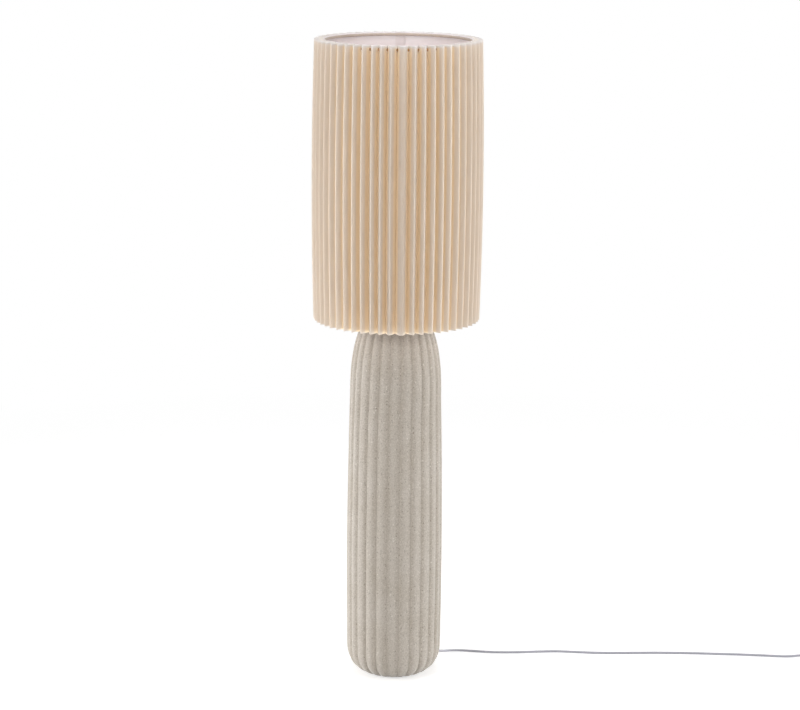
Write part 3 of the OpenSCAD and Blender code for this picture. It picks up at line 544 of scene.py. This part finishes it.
# The ring's section is an oval, thicker by the tape's own thickness where each new turn starts,
# and that place shifts with the section's angle, so the steps run aslant
columns = tape_turns * tape_columns
a = 2 * math.pi * np.arange(columns)[:, None] / columns
b = 2 * math.pi * np.arange(ring_sides)[None, :] / ring_sides
lap = (tape_turns * a / (2 * math.pi) + b / (2 * math.pi)) % 1
tape_step = tape_t * (1 - lap)
reach = ring_r + (tape_in + tape_step) * np.cos(b)
points = np.stack([reach * np.cos(a), reach * np.sin(a),
    ring_z + (tape_up + tape_step) * np.sin(b) + 0 * a], axis=-1) * MM
bound_ring = grid_piece("upper_ring_bound", points, rows_close=True, sharp=80,
    along=np.linspace(0, 1, columns + 1))
# The tape is painted a grey-brown darker than the liner: partly its own colour, partly painted
# shade for the gap between the liner's edge and the pleats.
tape, tree, shader = start_material("cotton_tape", paint(188, 172, 160), Roughness=0.9,
    Specular_IOR_Level=0.2, Sheen_Weight=0.3)
place = object_place(tree)
threads = noise(tree, place, 1100.0, 3.0, 0.6)
feed(tree, shader,
    Base_Color=tinted(tree, drift(tree, threads), paint(192, 176, 164), paint(210, 196, 184)),
    Normal=bumped(tree, threads, 0.0002, 0.6))
bound_ring.data.materials.append(tape)
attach(bound_ring, "shade")
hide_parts("upper_ring")

# Liner
# A smooth pale laminated sheet rolled into a drum inside the pleats and glued to both rings.
# Its ends lap 18 mm over each other at the back, where the double layer is painted a little darker
# as painted shade.
liner_r, liner_t, liner_lap = 131.5, 0.5, 18.0
lap_air, lap_ease, liner_rows = 0.1, 0.5, 22
shade_foot, shade_top = 670.0, 1170.0
lap_turn = liner_lap / liner_r
seam_side = math.radians(88.8)
# The sheet's radius is liner_r, less one sheet and a little air where it lies under its own end
closer_turn = 1.6 * lap_turn
lap_columns, drum_columns, end_columns = 18, 175, 10
t = np.concatenate([np.linspace(0, closer_turn, lap_columns),
    np.linspace(closer_turn, 2 * math.pi, drum_columns)[1:],
    np.linspace(2 * math.pi, 2 * math.pi + lap_turn, end_columns)[1:]])
under = np.clip((t - lap_turn) / (lap_ease * lap_turn), 0, 1)
reach = liner_r - (liner_t + lap_air) * (1 - eased(under))
angle = (seam_side - lap_turn / 2 + t)[None, :]
z = np.linspace(shade_foot, shade_top, liner_rows)[:, None]
points = np.stack([reach * np.cos(angle) + 0 * z, reach * np.sin(angle) + 0 * z, z + 0 * angle],
    axis=-1) * MM
double = ((t < lap_turn) | (t > 2 * math.pi)) * np.ones_like(z)
liner = grid_piece("liner_drum", points, columns_close=False, across=t * liner_r * MM,
    along=z[:, 0] * MM, amounts={"double": double})
sheet_wall = liner.modifiers.new("sheet", "SOLIDIFY")
sheet_wall.thickness = liner_t * MM
sheet_wall.offset = 0.0


def let_through(tree, shader, share, colour):
    """Lets a share of the light that meets the shader's surface through, in this colour."""
    behind = put(tree, "BsdfTranslucent", {"Color": colour})
    both = put(tree, "MixShader", {0: share, 1: shader.outputs[0], 2: behind.outputs[0]})
    tree.links.new(both.outputs[0], tree.nodes["Material Output"].inputs["Surface"])


laminate, tree, shader = start_material("liner_laminate", paint(244, 234, 229), Roughness=0.5,
    Specular_IOR_Level=0.35)
place = object_place(tree)
layers = put(tree, "Attribute", attribute_name="double").outputs["Fac"]
upright = put(tree, "Mapping", {"Vector": place, "Scale": (9.0, 9.0, 2.0)}).outputs[0]
ripple = noise(tree, upright, 2.0)
single = tinted(tree, drift(tree, ripple), paint(252, 246, 249), paint(250, 243, 246))
# Painted shade: where the sheet lies double at the lap, it is painted a little darker.
feed(tree, shader,
    Base_Color=tinted(tree, reckon(tree, "MULTIPLY", layers, 0.5), single, paint(236, 224, 220)),
    Normal=bumped(tree, ripple, 0.002, 0.3))
let_through(tree, shader, 0.42, paint(254, 252, 253))
liner.data.materials.append(laminate)
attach(liner, "shade")
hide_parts("shade_liner")

# Pleated cloth
# One strip of natural linen, machine pleated into 52 sharp accordion folds and drawn round the
# liner. The ends are lapped on one flat pleat near the front, and near the top edge a hole is
# punched through each inner fold for the thread that gathers the pleats.
pleat_count, pleat_depth, cloth_t = 52, 16.4, 0.5
seam_turn, seam_gap = 3.6, 8.4
crest_max, crest_bow, crest_tilt, valley_least = 152.3, 3.9, 0.6, 132.1
fold_round, fold_crowd, columns_a_pleat = 0.93, 0.8, 20
front_crowd, crest_drift, pleat_drift = 2.0, 0.22, 0.008
sway_turn, sway_waves, swell, swell_waves = 0.04, 2.2, 0.004, 3.0
open_rows, open_rows_in, hole_half_columns = 25, 32, 3
hand = np.random.default_rng(4)
crest_turn = np.concatenate([[seam_turn],
    np.linspace(seam_turn + seam_gap, seam_turn + 360 - seam_gap, pleat_count - 1)
    + hand.normal(0, crest_drift, pleat_count - 1)])
crest_turn = crest_turn - front_crowd * np.sin(np.radians(crest_turn))
valley_turn = (crest_turn + np.append(crest_turn[-1] - 360, crest_turn[:-1])) / 2
valley_after = np.append(valley_turn[1:], valley_turn[0] + 360)
# A pleat's share of the way out from its inner fold is (1 - asin(k * cos(turn)) / asin(k)) / 2, a
# zigzag whose tips are rounder the smaller k, fold_round, is. The columns crowd at the folds
p = np.arange(columns_a_pleat) / columns_a_pleat
q = p - fold_crowd / (4 * math.pi) * np.sin(4 * math.pi * p)
fold = (1 - np.arcsin(fold_round * np.cos(2 * math.pi * q)) / math.asin(fold_round)) / 2
q = np.tile(q, (pleat_count, 1))
fold = np.tile(fold, (pleat_count, 1))
# The lapped pleat has a flat top, and columns of its own that stand close at its edges
q[0] = [0, 0.01, 0.03, 0.06, 0.12, 0.2, 0.28, 0.33, 0.345, 0.36,
    0.365, 0.5, 0.635, 0.65, 0.665, 0.72, 0.8, 0.88, 0.94, 0.975]
fold[0] = np.interp(q[0], [0, 0.02, 0.335, 0.35, 0.361, 0.366, 0.64, 0.655, 0.98, 1],
    [0, 0.035, 0.95, 0.985, 0.99, 1.025, 1.025, 0.975, 0.035, 0])
before, after = np.minimum(2 * q, 1), np.maximum(2 * q - 1, 0)
turn = (valley_turn[:, None] + (crest_turn - valley_turn)[:, None] * before
    + (valley_after - crest_turn)[:, None] * after).reshape(-1)
fold = fold.reshape(-1)
of_pleat = np.repeat(np.arange(pleat_count), columns_a_pleat)
edge_rows = np.array([0, 1.5, 4.3, 7.3, 10.3, 14])
z = np.concatenate([shade_foot + edge_rows,
    np.linspace(shade_foot + open_rows_in, shade_top - open_rows_in, open_rows),
    shade_top - edge_rows[::-1]])[:, None]
s = (z - (shade_foot + shade_top) / 2) / ((shade_top - shade_foot) / 2)
crest_r = crest_max - crest_bow * s ** 2 - crest_tilt * s
valley_r = np.maximum(crest_r - pleat_depth, valley_least)
phase = hand.uniform(0, 2 * math.pi, (2, pleat_count))[:, of_pleat]
uneven = hand.normal(0, pleat_drift, pleat_count)[of_pleat]
sway = sway_turn * np.sin(sway_waves * s + phase[0])
depth_share = fold * (1 + uneven + swell * np.sin(swell_waves * s + phase[1]))
r = valley_r + (crest_r - valley_r) * depth_share
angle = np.radians(turn[None, :] - 90 + sway * fold)
points = np.stack([r * np.cos(angle), r * np.sin(angle), z + 0 * angle], axis=-1) * MM
middle = points[len(z) // 2]
across = length_along(np.vstack([middle, middle[:1]]))
from_left = np.arange(columns_a_pleat)
from_fold = np.minimum(from_left, columns_a_pleat - 1 - from_left)
hole_columns = np.tile(from_fold < hole_half_columns, pleat_count)
hole_rows = np.zeros(len(z) - 1, bool)
# The holes take the two rows from 4.3 to 10.3 mm below the top edge
hole_rows[[-4, -3]] = True
pleats = grid_piece("pleated_cloth", points, across=across, along=z[:, 0] * MM, sharp=89,
    left_out=hole_rows[:, None] & hole_columns[None, :],
    amounts={"fold": fold[None, :] * np.ones_like(z)})
cloth_wall = pleats.modifiers.new("cloth", "SOLIDIFY")
cloth_wall.thickness = cloth_t * MM
cloth_wall.offset = 0.0
linen, tree, shader = start_material("pleated_linen", paint(226, 206, 182), Roughness=0.85,
    Specular_IOR_Level=0.25, Sheen_Weight=0.3, Sheen_Roughness=0.5,
    Sheen_Tint=(0.9, 0.95, 1.0, 1.0))
thread_way = put(tree, "UVMap", uv_map="pattern").outputs[0]
fold_here = put(tree, "Attribute", attribute_name="fold").outputs["Fac"]
along_u = put(tree, "Mapping", {"Vector": thread_way, "Scale": (60.0, 1700.0, 1.0)}).outputs[0]
along_v = put(tree, "Mapping", {"Vector": thread_way, "Scale": (1700.0, 60.0, 1.0)}).outputs[0]
weft, warp = noise(tree, along_u, 1.0, 2.0), noise(tree, along_v, 1.0, 2.0)
weave = reckon(tree, "ADD", weft, warp)
slub = noise(tree, put(tree, "Mapping", {"Vector": thread_way,
    "Scale": (25.0, 420.0, 1.0)}).outputs[0], 1.0, 3.0, 0.6)
cloud = noise(tree, thread_way, 9.0, 3.0)
# Painted light and shade: each flank's outer half is painted pale as the lit part, and its inner
# half by the valley warm tan as painted shade, also in the light let through.
lit_outer_half = ranged(tree, fold_here, 0.4, 0.58)
how_high = put(tree, "SeparateXYZ", {0: thread_way}).outputs[1]
# The top few millimetres of the cloth are painted paler and cooler: partly the pale cut edge,
# partly painted light where the overhead light falls on the rim.
top_edge = ranged(tree, how_high, 1.165, 1.167, 0.0, 0.75)
cloth = tinted(tree, lit_outer_half, paint(252, 234, 210), paint(225, 214, 208))
# Painted highlight: the crests are painted paler.
cloth = tinted(tree, ranged(tree, fold_here, 0.93, 1.0, 0.0, 0.6), cloth, paint(240, 231, 222))
cloth = tinted(tree, top_edge, cloth, paint(238, 236, 238))
cloth_through = tinted(tree, lit_outer_half, paint(251, 244, 230), paint(241, 238, 233))
cloth_through = tinted(tree, top_edge, cloth_through, paint(240, 240, 241))
cloth = tinted(tree, ranged(tree, weave, 0.8, 1.15, 0.3, 0.0), cloth, paint(204, 178, 148))
cloth = tinted(tree, ranged(tree, slub, 0.6, 0.72, 0.0, 0.35), cloth, paint(244, 236, 224))
cloth = tinted(tree, ranged(tree, cloud, 0.4, 0.7, 0.0, 0.18), cloth, paint(216, 192, 166))
height = reckon(tree, "ADD", weave, reckon(tree, "MULTIPLY", slub, 0.7))
feed(tree, shader, Base_Color=cloth, Normal=bumped(tree, height, 0.00035, 0.55))
let_through(tree, shader, 0.78, cloth_through)
pleats.data.materials.append(linen)
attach(pleats, "shade")
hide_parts("shade_pleats")

# Gathering thread
# A twisted brown thread runs behind the folds near the top edge of the cloth. It is drawn out
# through the punched hole of each inner fold in a small knot, and holds the folds at one spacing.
thread_r, thread_out, thread_z = 0.6, 1.2, 1162.7
ply_d, ply_turns, thread_columns, thread_sides = 0.12, 260, 24, 8
knot_w, knot_out, knot_up = 1.5, 0.7, 2.1
twine, tree, shader = start_material("gathering_thread", paint(178, 138, 98), Roughness=0.8,
    Sheen_Weight=0.2)
place = object_place(tree)
strands = noise(tree, place, 1500.0, 2.0)
feed(tree, shader,
    Base_Color=tinted(tree, drift(tree, strands), paint(160, 120, 82), paint(196, 156, 114)),
    Normal=bumped(tree, strands, 0.0003, 0.7))
# The thread is a ring with a section that twists, and it swells to a knot by e to the power of
# -(distance to the nearest inner fold / knot_w)^4
share = (thread_z - (shade_foot + shade_top) / 2) / ((shade_top - shade_foot) / 2)
fold_in = max(crest_max - crest_bow * share ** 2 - crest_tilt * share - pleat_depth, valley_least)
degrees = 360 * np.arange(pleat_count * thread_columns)[:, None] / (pleat_count * thread_columns)
off_fold = ((degrees - (valley_turn - 90)[None, :] + 180) % 360 - 180) * math.radians(fold_in)
knot = np.exp(-(np.abs(off_fold).min(axis=1, keepdims=True) / knot_w) ** 4)
a = np.radians(degrees)
b = 2 * math.pi * np.arange(thread_sides)[None, :] / thread_sides
twist = thread_r * (1 + ply_d * np.cos(2 * b + ply_turns * a))
reach = fold_in + thread_out + (twist + knot_out * knot) * np.cos(b)
points = np.stack([reach * np.cos(a), reach * np.sin(a),
    thread_z + (twist + knot_up * knot) * np.sin(b)], axis=-1) * MM
thread = grid_piece("gathering_thread", points, rows_close=True, sharp=80)
thread.data.materials.append(twine)
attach(thread, "shade")

# Cord inside the column
# The same cord goes on from the strain relief, bends up through the slot in the threaded rod, and
# climbs inside it to the rod's top.
inside_sheath, tree, shader = start_material("inside_cord", paint(168, 170, 178), Roughness=0.45)
place = object_place(tree)
rubbed = noise(tree, place, 160.0, 3.0)
feed(tree, shader,
    Base_Color=tinted(tree, ranged(tree, rubbed, 0.35, 0.7), paint(172, 174, 182),
        paint(152, 153, 160)),
    Roughness=ranged(tree, rubbed, 0.35, 0.7, 0.4, 0.55))
finish_nodes(inside_sheath, "inner_flex")

# Strain relief and sleeves
# Soft grey plastic pieces, moulded with rings that let them bend, hold the cord where it leaves
# the stoneware and where it enters and leaves the switch.
soft_grey = plastic("soft_grey_plastic", paint(158, 160, 166), paint(144, 146, 152), 0.5, 0.62)
finish_nodes(soft_grey, "strain_relief", "switch_sleeves", "plug_tail")

# Foot switch
# Two moulded shells, screwed together from below over the contacts and standing on rubber feet,
# hold a round button that a spring lifts.
switch_grey = plastic("switch_plastic", paint(166, 168, 174), paint(156, 158, 164), 0.38, 0.5)
finish_nodes(switch_grey, "switch_lower_shell", "switch_upper_shell")
button_grey = plastic("button_plastic", paint(122, 124, 130), paint(112, 114, 119), 0.34, 0.46)
finish_nodes(button_grey, "switch_button")
foot_rubber = plastic("foot_rubber", paint(62, 62, 62), paint(50, 50, 50), 0.7, 0.85)
finish_nodes(foot_rubber, "switch_feet")
finish_nodes(brass, "switch_contacts", "switch_bridge")
finish_nodes(zinc, "switch_screws")

# Button spring
# A zinc plated wire is wound in four turns. It stands on the lower shell under the button's
# flange, and the button presses it flatter.
spring_r, wire_r, press = 8.5 * MM, 0.6 * MM, 3.0 * MM
spring_turns, spring_steps = 4, 28
low, high = (np.array(corner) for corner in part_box("switch_spring"))
middle = (low + high) / 2
turn = np.linspace(0, spring_turns, spring_turns * spring_steps + 1)
spring_line = np.stack([middle[0] + spring_r * np.cos(2 * math.pi * turn),
    middle[1] + spring_r * np.sin(2 * math.pi * turn),
    low[2] + wire_r + (high[2] - low[2] - 2 * wire_r) * turn / spring_turns], axis=-1)
spring = grid_piece("button_spring", tube_points(spring_line, wire_r, sides=10), ends=True,
    along=length_along(spring_line))
spring.data.materials.append(zinc)
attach(spring, "column")
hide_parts("switch_spring")
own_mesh(spring)

# Plug
# A flat two pole plug, moulded in one with the sleeves round the roots of its brass pins.
plug_grey = plastic("plug_plastic", paint(160, 162, 168), paint(150, 152, 158), 0.4, 0.52)
finish_nodes(plug_grey, "plug_body")
finish_nodes(brass, "plug_pins")

# Studio
# A pale floor under plain soft light: two low soft boxes beside the lamp and a little behind it,
# two in front, one overhead, and a white surround. The floor keeps the shadow near the lamp and
# fades into the surround.
floor_r, floor_hole_r, floor_under, floor_rings, floor_columns = 3.0, 0.02, 0.0002, 12, 96
floor_lift, fade_from, fade_to, surround_light = 0.55, 0.9, 2.2, 0.25


def looked_at(tree):
    """One for the camera's rays and those that gloss or glass sends on, and nought for others."""
    ray = put(tree, "LightPath").outputs
    return reckon(tree, "MAXIMUM", ray["Is Camera Ray"],
        reckon(tree, "MAXIMUM", ray["Is Glossy Ray"], ray["Is Transmission Ray"]))


a = 2 * math.pi * np.arange(floor_columns)[None, :] / floor_columns
r = np.linspace(floor_hole_r, floor_r, floor_rings)[:, None]
points = np.stack([r * np.cos(a), r * np.sin(a), 0 * r * a - floor_under], axis=-1)
floor = grid_piece("studio_floor", points[::-1])
floor_paint, tree, shader = start_material("pale_floor", (0.8, 0.8, 0.8, 1.0), Roughness=0.9,
    Specular_IOR_Level=0.1)
place = object_place(tree)
far = put(tree, "VectorMath", {0: place}, operation="LENGTH").outputs["Value"]
seen = looked_at(tree)
lift = put(tree, "Emission", {"Color": (1.0, 1.0, 1.0, 1.0),
    "Strength": reckon(tree, "MULTIPLY", seen, floor_lift)})
lit = put(tree, "AddShader", {0: shader.outputs[0], 1: lift.outputs[0]})
white = put(tree, "Emission", {"Color": (1.0, 1.0, 1.0, 1.0), "Strength": 1.0})
faded = reckon(tree, "MULTIPLY", ranged(tree, far, fade_from, fade_to), seen)
edge = put(tree, "MixShader", {0: faded, 1: lit.outputs[0], 2: white.outputs[0]})
tree.links.new(edge.outputs[0], tree.nodes["Material Output"].inputs["Surface"])
floor.data.materials.append(floor_paint)


def soft_box(name, place, target, size, power):
    """A rectangular lamp at a place, turned to face a target."""
    data = bpy.data.lights.new(name, "AREA")
    data.shape = "RECTANGLE"
    data.size, data.size_y = size
    data.energy = power
    lamp = bpy.data.objects.new(name, data)
    lamp.location = place
    way = np.array(target) - np.array(place)
    lamp.rotation_euler = (math.acos(-way[2] / np.linalg.norm(way)), 0,
        math.atan2(way[1], way[0]) - math.pi / 2)
    bpy.context.scene.collection.objects.link(lamp)


soft_box("left_side_box", (-1.77, 0.35, 0.15), (0, 0, 0.15), (0.7, 0.28), 28)
soft_box("right_side_box", (3.0, 0.59, 0.15), (0, 0, 0.15), (1.19, 0.46), 79)
soft_box("left_front_box", (-2.1, -2.7, 1.9), (0, 0, 0.6), (1.2, 1.2), 41)
soft_box("right_front_box", (2.1, -2.7, 1.9), (0, 0, 0.6), (1.2, 1.2), 37)
soft_box("top_soft_box", (0, -0.3, 3.2), (0, 0, 0.7), (1.6, 1.6), 28)
world = bpy.data.worlds.new("white_surround")
world.use_nodes = True
tree = world.node_tree
tree.links.new(ranged(tree, looked_at(tree), 0.0, 1.0, surround_light, 1.0),
    tree.nodes["Background"].inputs["Strength"])
tree.nodes["Background"].inputs["Color"].default_value = (1.0, 1.0, 1.0, 1.0)
bpy.context.scene.world = world
